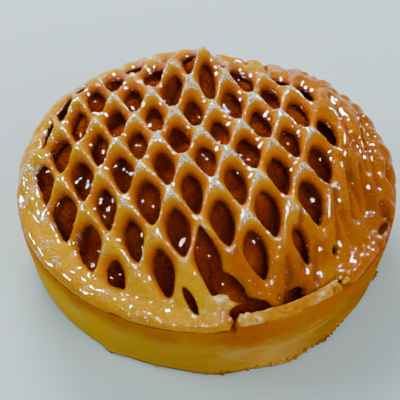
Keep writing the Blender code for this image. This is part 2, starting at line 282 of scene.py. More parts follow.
class PieCaseSizes(bpy.types.PropertyGroup):
    """The shortcrust case: wall and floor."""

    rim_radius: length("Rim radius", "The wall's outer radius at its top", 0.068)
    foot_radius: length("Foot radius", "The wall's outer radius at the foot", 0.0650)
    foot_round: length("Foot round", "The rounding under the foot", 0.0012)
    belly: length("Belly", "How far the wall bulges at mid-height", 0.0005)
    wall: length("Wall", "The wall's thickness", 0.0042)
    floor: length("Floor", "The floor's thickness", 0.005)
    seam_height: length("Seam height", "The wall's height under the lid", 0.0257)
    bore_height: length("Bore height", "Where the inside starts to taper", 0.0240)
    lip_height: length("Lip height", "The wall's height where its lip is bare", 0.0303)
    lip_round: length("Lip round", "The rounding of the lip", 0.0009)
    relief: length("Relief", "How uneven the wall is", 0.00022)
    lip_relief: length("Lip relief", "How rough the bare lip is", 0.0014)
    steps: whole("Steps", "Steps round the wall", 600)


class PieCrumbSizes(bpy.types.PropertyGroup):
    """Crumbs round the foot and on the lip."""

    crumb_size: length("Crumb size", "A crumb's half size", 0.0008)
    foot_count: whole("Foot count", "How many crumbs lie along the foot", 60)
    lip_count: whole("Lip count", "How many crumbs lie on the lip's broken ends", 26)
    seed: whole("Seed", "Where the crumbs fall", 4)


class PieColours(bpy.types.PropertyGroup):
    """The colours of the crust, the glaze and the filling, and the stage."""

    golden: colour("Golden", "The glazed strands' tops", (0.60, 0.305, 0.0001))
    # Amber and brown darken the strands down into the holes and creases: partly the glaze's own colour,
    # partly painted shade
    amber: colour("Amber", "The slopes of the strands", (0.54, 0.146, 0.0002))
    brown_and_shade: colour("Brown", "Deep in the holes", (0.22, 0.034, 0.0002))
    toasted: colour("Toasted", "The browned side of the lid", (0.37, 0.086, 0.0002))
    # Cream is bare pastry, and also painted highlight on the crests, on glint spots and on the left rim
    cream_and_highlight: colour("Cream", "Bare pastry on crests, flakes and lip", (1.0, 0.93, 0.72))
    crumb: colour("Crumb", "The torn ends of strands", (0.66, 0.37, 0.02))
    wall_pale: colour("Pale wall", "The shortcrust on the left", (0.55, 0.295, 0.010))
    wall_amber: colour("Amber wall", "The shortcrust in front", (0.43, 0.205, 0.010))
    wall_brown: colour("Brown wall", "The shortcrust on the right", (0.25, 0.082, 0.002))
    burnt: colour("Burnt", "The line along the foot", (0.15, 0.036, 0.0005))
    apple: colour("Apple", "The cooked apple", (0.205, 0.022, 0.0003))
    apple_light: colour("Light apple", "Where the apple shows through its syrup", (0.36, 0.062, 0.0005))
    stage: colour("Stage", "The floor", (0.51, 0.68, 0.73))


class Field:
    """One number or vector that a node tree works out, written with the usual signs of arithmetic."""

    def __init__(self, tree, socket):
        self.tree = tree
        self.socket = socket

    def __add__(self, other):
        return maths("ADD", self, other)

    def __sub__(self, other):
        return maths("SUBTRACT", self, other)

    def __rsub__(self, other):
        return maths("SUBTRACT", other, self)

    def __mul__(self, other):
        return maths("MULTIPLY", self, other)

    def __truediv__(self, other):
        return maths("DIVIDE", self, other)

    def __rtruediv__(self, other):
        return maths("DIVIDE", other, self)

    def __pow__(self, other):
        return maths("POWER", self, other)

    def __neg__(self):
        return maths("MULTIPLY", self, -1)

    __radd__ = __add__
    __rmul__ = __mul__


def feed(tree, socket, value):
    """Links a field or a node's output to a socket, or sets the socket to a plain value."""
    if isinstance(value, Field):
        value = value.socket
    if isinstance(value, bpy.types.NodeSocket):
        tree.links.new(value, socket)
    else:
        socket.default_value = value


def add_node(tree, kind, inputs=None, **settings):
    """A node with these settings, its inputs fed with fields, outputs or plain values."""
    node = tree.nodes.new(kind)
    for name, value in settings.items():
        setattr(node, name, value)
    for name, value in (inputs or {}).items():
        feed(tree, node.inputs[name], value)
    return node


def maths(operation, *values):
    tree = next(value.tree for value in values if isinstance(value, Field))
    node = add_node(tree, "ShaderNodeMath", dict(enumerate(values)), operation=operation)
    return Field(tree, node.outputs[0])


def larger(first, second, blend=0.0):
    return maths("SMOOTH_MAX", first, second, blend) if blend else maths("MAXIMUM", first, second)


def smaller(first, second, blend=0.0):
    return maths("SMOOTH_MIN", first, second, blend) if blend else maths("MINIMUM", first, second)


def kept_within(value, low, high):
    return maths("MINIMUM", maths("MAXIMUM", value, low), high)


def rise(value, low, high):
    """From 0 at low to 1 at high, smoothly."""
    inputs = {"Value": value, "From Min": low, "From Max": high}
    node = add_node(value.tree, "ShaderNodeMapRange", inputs, interpolation_type="SMOOTHSTEP")
    return Field(value.tree, node.outputs["Result"])


def between(value, start, end):
    """1 between the two ranges, 0 outside them, smooth over each."""
    return rise(value, *start) - rise(value, *end)


def mixed(first, second, amount):
    return first + (second - first) * amount


def span(*values):
    """The length of a vector from its parts."""
    total = values[0] * values[0]
    for value in values[1:]:
        total = total + value * value
    return maths("SQRT", total)


def rounded_meet(first, second, radius):
    """What is inside both solids, as a signed distance, its shared edge rounded."""
    a = first + radius
    b = second + radius
    outside = span(maths("MAXIMUM", a, 0), maths("MAXIMUM", b, 0))
    return smaller(larger(a, b), 0) + outside - radius


def separated(tree, socket):
    node = add_node(tree, "ShaderNodeSeparateXYZ", {0: socket})
    return [Field(tree, output) for output in node.outputs]


def combined(*parts):
    tree = next(part.tree for part in parts if isinstance(part, Field))
    node = add_node(tree, "ShaderNodeCombineXYZ", dict(enumerate(parts)))
    return Field(tree, node.outputs[0])


def positions(tree):
    """Where a point of the geometry is, as one vector and as its three parts."""
    socket = tree.nodes.new("GeometryNodeInputPosition").outputs[0]
    return Field(tree, socket), *separated(tree, socket)


def patches(vector, scale, detail):
    """Soft noise from about -1 to 1. The scale is how many patches there are to a metre."""
    inputs = {"Vector": vector, "Scale": scale, "Detail": detail}
    node = add_node(vector.tree, "ShaderNodeTexNoise", inputs)
    return Field(vector.tree, node.outputs[0]) * 2 - 1


def cells(vector, scale):
    """Distance from the nearest of scattered points, in cells, softly rounded."""
    inputs = {"Vector": vector, "Scale": scale, "Smoothness": 0.4}
    node = add_node(vector.tree, "ShaderNodeTexVoronoi", inputs, feature="SMOOTH_F1")
    return Field(vector.tree, node.outputs["Distance"])


def own_properties(group):
    return [rule for rule in group.bl_rna.properties if rule.identifier not in ("rna_type", "name")]


def new_tree(name, *groups):
    """A Geometry Nodes tree with an input for each size of the groups, and those inputs as fields."""
    tree = bpy.data.node_groups.new(name, "GeometryNodeTree")
    tree.interface.new_socket("Geometry", in_out="OUTPUT", socket_type="NodeSocketGeometry")
    tree.interface.new_socket("Geometry", in_out="INPUT", socket_type="NodeSocketGeometry")
    rules = [rule for group in groups for rule in own_properties(group)]
    for rule in rules:
        tree.interface.new_socket(rule.name, in_out="INPUT", socket_type="NodeSocketFloat")
    source = tree.nodes.new("NodeGroupInput")
    fields = {rule.identifier: Field(tree, source.outputs[rule.name]) for rule in rules}
    return tree, source, fields


def apply_tree(piece, tree, *groups):
    """Runs the tree on the piece with these sizes, and leaves the result as the piece's plain mesh."""
    modifier = piece.modifiers.new(tree.name, "NODES")
    modifier.node_group = tree
    rules = [(group, rule) for group in groups for rule in own_properties(group)]
    values = {rule.name: getattr(group, rule.identifier) for group, rule in rules}
    for item in tree.interface.items_tree:
        if item.in_out == "INPUT" and item.name in values:
            modifier[item.identifier] = float(values[item.name])
    depsgraph = bpy.context.evaluated_depsgraph_get()
    made = bpy.data.meshes.new_from_object(piece.evaluated_get(depsgraph), depsgraph=depsgraph)
    piece.modifiers.clear()
    old = piece.data
    piece.data = made
    bpy.data.meshes.remove(old)
    if not made.polygons:
        raise RuntimeError(f"{piece.name} came out empty")


def end_tree(tree, geometry, material):
    """The tree's last nodes: real instances, smooth shading and the material."""
    real = add_node(tree, "GeometryNodeRealizeInstances", {0: geometry})
    smooth = add_node(tree, "GeometryNodeSetShadeSmooth", {0: real.outputs[0]})
    inputs = {"Geometry": smooth.outputs[0], "Material": material}
    dressed = add_node(tree, "GeometryNodeSetMaterial", inputs)
    add_node(tree, "NodeGroupOutput", {0: dressed.outputs[0]})


def store(tree, geometry, name, value):
    """Keeps a field on the mesh as a named attribute, for the material to read."""
    inputs = {"Geometry": geometry, "Name": name, "Value": value}
    node = add_node(tree, "GeometryNodeStoreNamedAttribute", inputs, data_type="FLOAT", domain="POINT")
    return node.outputs[0]


def solid_in_grid(tree, solid, voxel, low, high):
    """Turns a signed distance into the skin of the solid, between two corners."""
    cube = add_node(tree, "GeometryNodeVolumeCube", {"Min": low, "Max": high})
    for axis, start, end in zip("XYZ", low, high):
        feed(tree, cube.inputs[f"Resolution {axis}"], maths("FLOOR", (end - start) / voxel))
    feed(tree, cube.inputs["Density"], kept_within(0.5 - solid / (voxel * EDGE_STEPS), 0, 1))
    skin = add_node(tree, "GeometryNodeVolumeToMesh", {"Volume": cube.outputs[0], "Threshold": 0.5})
    position = tree.nodes.new("GeometryNodeInputPosition")
    inputs = {"Value": position.outputs[0], "Iterations": SMOOTHINGS}
    blurred = add_node(tree, "GeometryNodeBlurAttribute", inputs, data_type="FLOAT_VECTOR")
    inputs = {"Geometry": skin.outputs[0], "Position": blurred.outputs["Value"]}
    return add_node(tree, "GeometryNodeSetPosition", inputs).outputs[0]


def new_piece(name, mesh=None):
    piece = bpy.data.objects.new(name, mesh or bpy.data.meshes.new(name))
    bpy.context.scene.collection.objects.link(piece)
    return piece


def without_islands(piece):
    """Takes off islands too small to be part of the solid."""
    mesh = bmesh.new()
    mesh.from_mesh(piece.data)
    left = set(mesh.verts)
    while left:
        island = {left.pop()}
        edge = list(island)
        while edge:
            vert = edge.pop()
            for link in vert.link_edges:
                other = link.other_vert(vert)
                if other in left:
                    left.remove(other)
                    island.add(other)
                    edge.append(other)
        if len(island) < SMALLEST_ISLAND:
            bmesh.ops.delete(mesh, geom=list(island), context="VERTS")
    mesh.to_mesh(piece.data)
    mesh.free()


def dome_height(x, y, size):
    """The height of the lid's top over a place of the plan."""
    fuller = rise(y, size["fuller_from"], size["fuller_to"])
    reach = smaller(span(x, y) / mixed(size["dome_radius"], size["back_radius"], fuller), 1)
    power = mixed(size["dome_power"], size["back_power"], fuller)
    height = size["dome_foot"] + size["dome_rise"] * (1 - reach**power)
    fade = 1 - reach**4
    for lump_x, lump_y, lump_rise, spread in LUMPS:
        across = x - lump_x
        along = y - lump_y
        apart = (across * across + along * along) * (-0.5 / spread**2)
        height = height + fade * maths("EXPONENT", apart) * lump_rise
    return height


def over_dome(x, y, z, size):
    """Height above the dome, square to it, and the place of the plan where that line meets the dome."""
    height = dome_height(x, y, size)
    slope_x = (dome_height(x + SLOPE_STEP, y, size) - height) / SLOPE_STEP
    slope_y = (dome_height(x, y + SLOPE_STEP, size) - height) / SLOPE_STEP
    upright = 1 / maths("SQRT", slope_x * slope_x + slope_y * slope_y + 1)
    above = (z - height) * upright
    slant = upright * above
    return above, x + slope_x * slant, y + slope_y * slant


def on_sheet(x, y, size):
    """The slit sheet's column and row at a place of the plan."""
    column = (x - size["sheet_x"]) / size["pitch_across"]
    row = (y - size["sheet_y"]) / size["pitch_along"]
    for _ in range(SHEET_STEPS):
        along = y - size["sheet_y"] - size["row_tilt"] * column - size["row_bow"] * column * column
        fanned = along + size["fan_along"] * column * row
        row = (fanned - size["row_spread"] * row * row) / size["pitch_along"]
        across = x - size["sheet_x"] + size["row_lean"] * row - size["row_curl"] * row * row
        column = (across + size["fan_across"] * column * row) / size["pitch_across"]
    return column, row + MIDDLE_ROW


def sheet_place(column, row, size):
    """The place of the plan for a column and a row of the slit sheet."""
    up = row - MIDDLE_ROW
    x = size["sheet_x"] + size["pitch_across"] * column - size["row_lean"] * up + size["row_curl"] * up * up
    y = size["sheet_y"] + size["pitch_along"] * up + size["row_tilt"] * column + size["row_spread"] * up * up
    turned = column * up
    return x - size["fan_across"] * turned, y - size["fan_along"] * turned + size["row_bow"] * column * column


def almond(across, along, width, height):
    """Distance from an almond about the origin, negative inside it. Across and along are 0 or more."""
    circle = (width * width + height * height) / (width * 2)
    offset = circle - width
    past_end = maths("GREATER_THAN", (along - height) * offset, across * height)
    tip = span(across, along - height)
    side = span(across + offset, along) - circle
    return mixed(side, tip, past_end)


def lid_depth(radius, size):
    """The lid's thickness: thinner towards the rim, and down to the wall over it."""
    depth = mixed(size["strand_depth"], size["rim_depth"], rise(radius, *THINNER))
    return mixed(depth, size["rim_drop"], rise(radius, *OVER_WALL))


def around_holes(column, row, above, limit, size):
    """The lid round its holes, the closed slits' depth, and the strands' crests and joints."""
    left = second = nearest = groove = None
    middle = maths("ROUND", row)
    for side in (-1, 0, 1):
        hole_row = middle + side
        stagger = maths("FLOORED_MODULO", hole_row, 2) * 0.5
        hole_column = maths("ROUND", column - stagger) + stagger
        x, y = sheet_place(hole_column, hole_row, size)
        off_zone = span(x - size["zone_x"], y)
        inputs = {"Vector": combined(hole_column, hole_row, 0)}
        draw = add_node(column.tree, "ShaderNodeTexWhiteNoise", inputs)
        uneven = 1 + size["hole_unevenness"] * (Field(column.tree, draw.outputs["Value"]) * 2 - 1)
        narrowed = size["narrowing"] * rise(off_zone, size["zone_narrowing"], size["zone_radius"])
        opened = uneven * (1 - narrowed)
        closed = maths("GREATER_THAN", off_zone, size["zone_radius"])
        up = (row - hole_row) * size["pitch_along"] + size["hole_shift"]
        arch = 1 - size["hole_arch"] * kept_within(up / size["hole_length"], -1, 1)
        across = maths("ABSOLUTE", column - hole_column) * size["pitch_across"] * arch
        along = maths("ABSOLUTE", up)
        away = almond(across, along, size["hole_width"] * opened, size["hole_length"] * opened**0.25)
        away = larger(away - size["hole_corner"] * opened + closed * OUT_OF_REACH, limit, 0.0010)
        slope = mixed(size["lip_slope"], size["front_slope"], rise(up, -0.0035, 0.0035))
        steepness = size["strand_depth"] / slope
        inclined = (above + size["strand_depth"] - away * steepness) / span(steepness, 1)
        cut = larger(inclined, -away)
        slit = almond(across, along, size["groove_width"] * 0.12, size["hole_length"])
        pressed = closed * (1 - rise(slit, 0, size["groove_width"]))
        if left is None:
            left, second, nearest, groove = cut, cut - 1, away, pressed
        else:
            second = larger(smaller(left, cut), second)
            left = larger(left, cut)
            nearest = smaller(nearest, away)
            groove = larger(groove, pressed)
    crest = (1 - rise(left - second, 0.0001, 0.0030)) * (1 - rise(nearest, 0.0038, 0.0056))
    joint = rise(nearest, 0.0020, 0.0038) * (1 - rise(nearest, 0.0050, 0.0064))
    blend = size["slope_blend"] * (1 + rise(limit, -0.010, -0.001) * 2)
    return larger(left, above, blend), groove, crest, joint


def off_middle(x, y, middle_x, middle_y, degrees):
    """How far across and along a turned slit a place lies, from the slit's middle."""
    turn = math.radians(degrees)
    off_x = x - middle_x
    off_y = y - middle_y
    along = maths("ABSOLUTE", off_x * math.cos(turn) + off_y * math.sin(turn))
    across = maths("ABSOLUTE", off_y * math.cos(turn) - off_x * math.sin(turn))
    return across, along


def opening_distance(x, y, opening):
    """Distance from one of the openings, negative inside it."""
    middle_x, middle_y, width, height, degrees = opening
    across, along = off_middle(x, y, middle_x, middle_y, degrees)
    return almond(across, along, width, height)


def nearest_opening(x, y, openings):
    return reduce(smaller, [opening_distance(x, y, opening) for opening in openings])


def one_crease(x, y, crease, width):
    """1 in the bottom of the crease, 0 clear of it."""
    middle_x, middle_y, half, degrees = crease
    across, along = off_middle(x, y, middle_x, middle_y, degrees)
    return 1 - rise(span(across, larger(along - half, 0)), 0, width)


def flake_distance(x, y, z, ragged, flake):
    """Distance from a lump of pastry, negative inside it."""
    off = [(axis - middle) / half for axis, middle, half in zip((x, y, z), flake[:3], flake[3:])]
    return (span(*off) - 1) * min(flake[3:]) + ragged * 0.0012


def lid_tree(dome, sizes, material):
    """The lid as one solid worked out in a grid of small cells, and made a mesh."""
    tree, _, size = new_tree("lattice_lid_tree", dome, sizes)
    place, x, y, z = positions(tree)
    radius = span(x, y)
    angle = maths("ARCTAN2", y, x) * (180 / math.pi)
    ragged = patches(place, 420, 3)
    tucked = between(angle + patches(place, 260, 3) * 1.6, TUCK_START, TUCK_END)

    above, plan_x, plan_y = over_dome(x, y, z, size)
    lumps = size["rim_lumps"] * rise(radius, *LUMPY) * (1 - tucked * 0.5) * patches(place, 150, 1.5)
    folded = between(angle, FOLDS_START, FOLDS_END) * rise(radius, *FOLDED)
    folds = size["fold_height"] * folded * maths("COSINE", angle * math.radians(FOLDS_IN_TURN))
    off_seam = maths("ABSOLUTE", radius - SEAM_RADIUS)
    seam = (1 - rise(off_seam, 0, SEAM_WIDTH)) * between(angle, SEAM_START, SEAM_END)
    drawn = patches(combined(angle * size["glaze_draw"], radius, 0), 210, 2) * rise(radius, *DRAWN_OUT)
    above = above - lumps - folds + seam * SEAM_DEPTH - drawn * size["glaze_ridges"]
    stray_x = size["sheet_unevenness"] * patches(place, 70, 1)
    stray_y = size["sheet_unevenness"] * patches(place + 0.5, 70, 1)
    column, row = on_sheet(plan_x + stray_x, plan_y + stray_y, size)
    net_limit = span(plan_x, plan_y) - size["net_limit"]
    left, groove, crest, joint = around_holes(column, row, above, net_limit, size)
    groove = groove * rise(plan_y + plan_x * 0.6, -0.012, 0.004)
    pressed = above + size["groove_depth"] * groove
    coarse = patches(place, 230, 2)
    torn = nearest_opening(plan_x, plan_y, TEARS) + (ragged + coarse) * size["tear_raggedness"]
    torn = smaller(torn, nearest_opening(plan_x, plan_y, SLITS) + ragged * 0.0003)
    creases = [one_crease(plan_x + stray_x, plan_y, crease, size["crease_width"]) for crease in CREASES]
    creased = reduce(larger, creases)
    pressed = pressed + size["crease_depth"] * creased
    pimples = rise(patches(place, 520, 1), 0.30, 0.62) * rise(radius + plan_x * 0.25, 0.050, 0.062)
    pressed = pressed - size["pimple_height"] * pimples
    solid = larger(larger(left, pressed), rounded_meet(above, -torn, 0.0009))

    outer = mixed(size["rim_radius"], size["tucked_radius"], tucked)
    solid = rounded_meet(solid, radius - outer, size["rim_round"])
    solid = larger(solid, -(above + lid_depth(radius, size)))
    chipped = kept_within(patches(place, 140, 3) * size["rim_chips"], 0, size["rim_chips"] * 0.5)
    solid = larger(solid, size["rim_under"] + chipped - z)
    flakes = reduce(smaller, [flake_distance(x, y, z, ragged, flake) for flake in FLAKES])
    solid = smaller(solid, flakes, 0.0006)
    solid = solid + patches(place, 190, 2) * 0.00020 + ragged * 0.00008

    low = (CAD_LOW.x - 0.002, CAD_LOW.y - 0.002, 0.0240)
    high = (CAD_HIGH.x + 0.002, CAD_HIGH.y + 0.002, CAD_HIGH.z + 0.002)
    geometry = solid_in_grid(tree, solid, size["voxel"], low, high)
    # How far down into a hole a point lies; the material darkens the strands by it, partly the glaze's own
    # colour and partly painted shade
    down = -above * (1 - rise(radius, 0.0605, 0.0630)) / size["strand_depth"]
    on_top = rise(above, -0.0030, -0.0012)
    kept = {
        "down": kept_within(down, 0, 1),
        "torn": 1 - rise(flakes, 0.0002, 0.0013),
        # The creases' bottoms, which the material paints brown: partly glaze pooled there, partly painted
        # shade
        "crease": larger(creased, groove),
        # Crests and joints, which the material paints cream: partly bare pastry, partly painted highlight
        "crest": crest * on_top,
        "joint": joint * on_top,
    }
    for name, value in kept.items():
        geometry = store(tree, geometry, name, value)
    end_tree(tree, geometry, material)
    return tree


def filling_tree(dome, sizes, material):
    """The mound of cooked apple under the lid."""
    tree, _, size = new_tree("apple_filling_tree", dome, sizes)
    place, x, y, z = positions(tree)
    radius = span(x, y)
    above, _, _ = over_dome(x, y, z, size)
    chunks = cells(place, 1 / size["chunk_size"])
    top = above + lid_depth(radius, size) + size["clearance"] + size["chunk_relief"] * chunks * chunks * 2
    top = top + patches(place, 160, 2) * 0.0002 + 0.0002
    taper = size["side_taper"] * maths("MAXIMUM", 0.024 - z, 0)
    solid = rounded_meet(top, radius - size["side_radius"] + taper, 0.0015)
    solid = larger(solid, size["floor_height"] - z)
    low = (-0.066, -0.066, 0.003)
    high = (0.066, 0.066, CAD_HIGH.z)
    geometry = solid_in_grid(tree, solid, size["voxel"], low, high)
    geometry = store(tree, geometry, "between", chunks)
    end_tree(tree, geometry, material)
    return tree


def socket_colour(colour_value):
    return (*colour_value, 1.0)


class Shader:
    """A new material with its shader, and short ways to paint it."""

    def __init__(self, name, base):
        self.material = bpy.data.materials.new(name)
        self.material.use_nodes = True
        self.tree = self.material.node_tree
        self.bsdf = self.tree.nodes["Principled BSDF"]
        # The crust and the apple are dull themselves, and only a coat over them shines
        self.bsdf.inputs["Specular IOR Level"].default_value = 0.0
        coordinates = self.tree.nodes.new("ShaderNodeTexCoord")
        self.place = Field(self.tree, coordinates.outputs["Object"])
        self.x, self.y, self.z = separated(self.tree, coordinates.outputs["Object"])
        self.paint = socket_colour(base)

    def attribute(self, name):
        node = add_node(self.tree, "ShaderNodeAttribute", attribute_name=name)
        return Field(self.tree, node.outputs["Fac"])

    def over(self, value, amount):
        """Paints a colour over what is there, by an amount from 0 to 1."""
        inputs = {"Factor": amount, "A": self.paint, "B": socket_colour(value)}
        node = add_node(self.tree, "ShaderNodeMix", inputs, data_type="RGBA")
        self.paint = node.outputs["Result"]

    def bumps(self, height, distance):
        node = add_node(self.tree, "ShaderNodeBump", {"Height": height, "Distance": distance})
        feed(self.tree, self.bsdf.inputs["Normal"], node.outputs[0])

    def finish(self, **values):
        feed(self.tree, self.bsdf.inputs["Base Color"], self.paint)
        for name, value in values.items():
            feed(self.tree, self.bsdf.inputs[name.replace("_", " ")], value)
        return self.material


def browned_spot(shader, spot, ragged):
    """How browned the lid is by one of its spots, from 0 to 1."""
    x, y, radius = spot
    return 1 - rise(span(shader.x - x, shader.y - y) / radius + ragged, 0.25, 1.0)


def glazed_lattice(colours):
    shader = Shader("glazed_lattice", colours.golden)
    down = shader.attribute("down")
    torn = shader.attribute("torn")
    crest = shader.attribute("crest")
    coarse = patches(shader.place, 45, 3)
    mottled = patches(shader.place, 120, 3)
    fine = patches(shader.place, 260, 3)
    grain = patches(shader.place, 900, 3)
    speckle = patches(shader.place, 1500, 2)
    radius = span(shader.x, shader.y)
    side = rise(shader.x + coarse * 0.014 - shader.y * 0.10, 0.016, 0.056)
    front = rise(radius + coarse * 0.006, 0.036, 0.050)
    front = front * rise(shader.x - shader.y * 0.15 + mottled * 0.006, 0.008, 0.022)
    rim = rise(radius + coarse * 0.006, 0.0605, 0.069) * 0.45
    baked = larger(larger(side, rim), front * (0.90 + mottled * 0.6))
    shader.over(colours.toasted, kept_within(baked * 0.9 + rise(mottled, 0.15, 0.8) * 0.35, 0, 1))
    ragged = mottled * 0.5 + fine * 0.3
    spots = reduce(larger, [browned_spot(shader, spot, ragged) for spot in BROWNED_SPOTS])
    shader.over(colours.toasted, spots)
    shader.over(colours.burnt, spots * kept_within(0.25 + mottled * 0.8, 0, 0.5))
    # Darker down into the holes, from golden to amber to brown: partly the glaze's own colour, partly painted
    # shade
    depth = down + fine * 0.10 + mottled * 0.06
    shader.over(colours.amber, rise(depth, 0.14, 0.52))
    shader.over(colours.brown_and_shade, rise(depth, 0.44, 0.82))
    # Cream on the strands' crests and joints: partly bare pastry, partly painted highlight
    middle = 1 - rise(radius + coarse * 0.010, 0.012, 0.052)
    joint = shader.attribute("joint") * (0.10 + middle * 0.5)
    crest_cream_and_highlight = rise(crest * (0.66 + middle * 0.30) + joint + mottled * 0.45 + fine * 0.30, 0.66, 0.96)
    shader.over(colours.cream_and_highlight, crest_cream_and_highlight * kept_within(0.62 + grain * 0.8 + speckle * 2.8, 0, 1))
    # Brown in the creases: partly glaze pooled there, partly painted shade
    shader.over(colours.brown_and_shade, kept_within(shader.attribute("crease") * 1.3 - 0.50 + fine * 0.3, 0, 0.85))
    shader.over(colours.burnt, rise(baked + mottled * 0.9 + fine * 0.3, 1.25, 1.6) * 0.6)
    # Painted glints: small cream dots on the lid towards the rim, most of them on the right
    painted_glints = rise(patches(shader.place, 800, 1), 0.42, 0.60) * rise(radius + shader.x * 0.4, 0.046, 0.062)
    shader.over(colours.cream_and_highlight, painted_glints * 0.7)
    # Cream on the left rim: partly crumbly bare crust, partly painted highlight
    crumbly_and_glare = rise(radius + coarse * 0.010, 0.050, 0.060) * rise(-shader.x + coarse * 0.01, 0.015, 0.050)
    crumbly_and_glare = crumbly_and_glare * rise(mottled + fine * 0.8, 0.02, 0.40)
    shader.over(colours.cream_and_highlight, crumbly_and_glare * kept_within(0.30 + grain * 0.8 + speckle * 2.6, 0, 0.8))
    shader.over(colours.crumb, torn * 0.75)
    shader.over(colours.cream_and_highlight, kept_within(torn * (grain * 1.2 + fine * 0.8 - 0.1), 0, 0.5))
    pores = (grain + speckle) * (0.8 + crest_cream_and_highlight * 3.2 + crumbly_and_glare * 3.0)
    shader.bumps(pores + patches(shader.place, 320, 2) * 2.0 + painted_glints * 1.5, 0.00020)
    roughness = 0.30 + torn * 0.4 + fine * 0.05
    return shader.finish(Roughness=roughness, Coat_Weight=0.65, Coat_Roughness=0.04, Coat_IOR=1.24)


def baked_case(colours):
    shader = Shader("baked_case", colours.wall_pale)
    coarse = patches(shader.place, 40, 3)
    fine = patches(shader.place, 300, 3)
    turned = shader.x + coarse * 0.012
    shader.over(colours.wall_amber, rise(turned, -0.045, 0.005))
    shader.over(colours.wall_brown, rise(turned + fine * 0.006, 0.018, 0.060))
    shader.over(colours.wall_pale, rise(coarse + fine * 0.4, 0.0, 0.9) * 0.5)
    layers = patches(combined(shader.x, shader.y, shader.z * 3), 90, 4)
    layers = layers * rise(shader.x + shader.z, -0.02, 0.04)
    shader.over(colours.crumb, kept_within(layers * 0.9, 0, 0.4))
    shader.over(colours.wall_brown, kept_within(layers * -1.3, 0, 0.4))
    shader.over(colours.cream_and_highlight, kept_within(0.02 - rise(turned, -0.06, 0.0) * 0.02 + coarse * 0.12, 0, 1))
    shader.over(colours.wall_brown, rise(coarse * -1 + fine * 0.3, 0.1, 0.9) * 0.35)
    # Darker and more orange towards the top of the wall, under the lid's rim
    top_band = rise(shader.z + coarse * 0.008 + fine * 0.002, 0.0150, 0.0245)
    shader.over(colours.toasted, kept_within(top_band * (0.75 + coarse * 0.9), 0, 1))
    lip = rise(shader.z, 0.0288, 0.0299)
    shader.over(colours.crumb, lip * 0.8)
    shader.over(colours.toasted, kept_within(lip * (0.35 - coarse * 0.9 + fine * 0.5), 0, 0.8))
    shader.over(colours.cream_and_highlight, kept_within(lip * (fine * 1.2 + coarse * 0.6 - 0.06), 0, 0.7))
    shader.over(colours.burnt, 1 - rise(shader.z + coarse * 0.0010 + fine * 0.0006, 0.0006, 0.0019))
    shader.bumps(patches(shader.place, 900, 4) + patches(shader.place, 200, 3) + layers * 1.5, 0.00020)
    return shader.finish(Roughness=0.6)


def syrupy_apple(colours):
    shader = Shader("syrupy_apple", colours.apple)
    fine = patches(shader.place, 220, 3)
    chunks = shader.attribute("between")
    shader.over(colours.apple_light, kept_within((1 - rise(chunks, 0.1, 0.5)) * (0.55 + fine), 0, 1))
    shader.bumps(patches(shader.place, 620, 2), 0.0010)
    return shader.finish(Roughness=0.6, Coat_Weight=0.10, Coat_Roughness=0.03, Coat_IOR=1.24)


def pale_floor(colours):
    shader = Shader("pale_floor", colours.stage)
    return shader.finish(Roughness=0.9, Specular_IOR_Level=0.1)


def eased(value, low, high):
    amount = min(max((value - low) / (high - low), 0), 1)
    return amount * amount * (3 - 2 * amount)


def lip_bare(degrees):
    return eased(degrees, *LIP_START) - eased(degrees, *LIP_END)


def foot_reach(degrees):
    """How far the browned crumbs stand out along the foot."""
    return sum(out * math.exp(-(((degrees - angle) / spread) ** 2)) for angle, out, spread in FOOT_CRUMBS)


def wall_radius(height, size):
    part = height / size.lip_height
    widened = size.foot_radius + (size.rim_radius - size.foot_radius) * part
    return widened + size.belly * math.sin(math.pi * part)


def case_section(degrees, size):
    """The case's section at one angle: radius, height and how rough it is there."""
    bare = lip_bare(degrees)
    top = size.seam_height + (size.lip_height - size.seam_height) * bare
    crumbs = foot_reach(degrees)
    section = []
    for step in range(ROUND_STEPS + 1):
        turn = math.pi / 2 * step / ROUND_STEPS
        out = size.foot_radius - size.foot_round * (1 - math.sin(turn)) + crumbs
        section.append((out, size.foot_round * (1 - math.cos(turn)), 0.5))
    rounding = size.lip_round * (0.4 + 0.6 * bare)
    low = size.foot_round * 1.6
    for step in range(WALL_STEPS + 1):
        height = low + (top - rounding - low) * step / WALL_STEPS
        fade = math.exp(-height / CRUMBS_UP)
        section.append((wall_radius(height, size) + crumbs * fade, height, 1.0))
    for step in range(1, ROUND_STEPS + 1):
        turn = math.pi / 2 * step / ROUND_STEPS
        out = wall_radius(top, size) - rounding * (1 - math.cos(turn))
        section.append((out, top - rounding * (1 - math.sin(turn)), 1.0 + bare))
    inner = size.rim_radius - size.wall
    outer = wall_radius(top, size) - rounding
    for step in range(1, LIP_STEPS + 1):
        out = outer + (inner + rounding - outer) * step / LIP_STEPS
        section.append((out, top, 1.0 + bare))
    section.append((inner + rounding * 0.3, top - rounding * 0.3, 0.5))
    section.append((inner, top - rounding, 0.0))
    section.append((inner, size.bore_height, 0.0))
    section.append((wall_radius(size.floor, size) - size.wall, size.floor, 0.0))
    return section


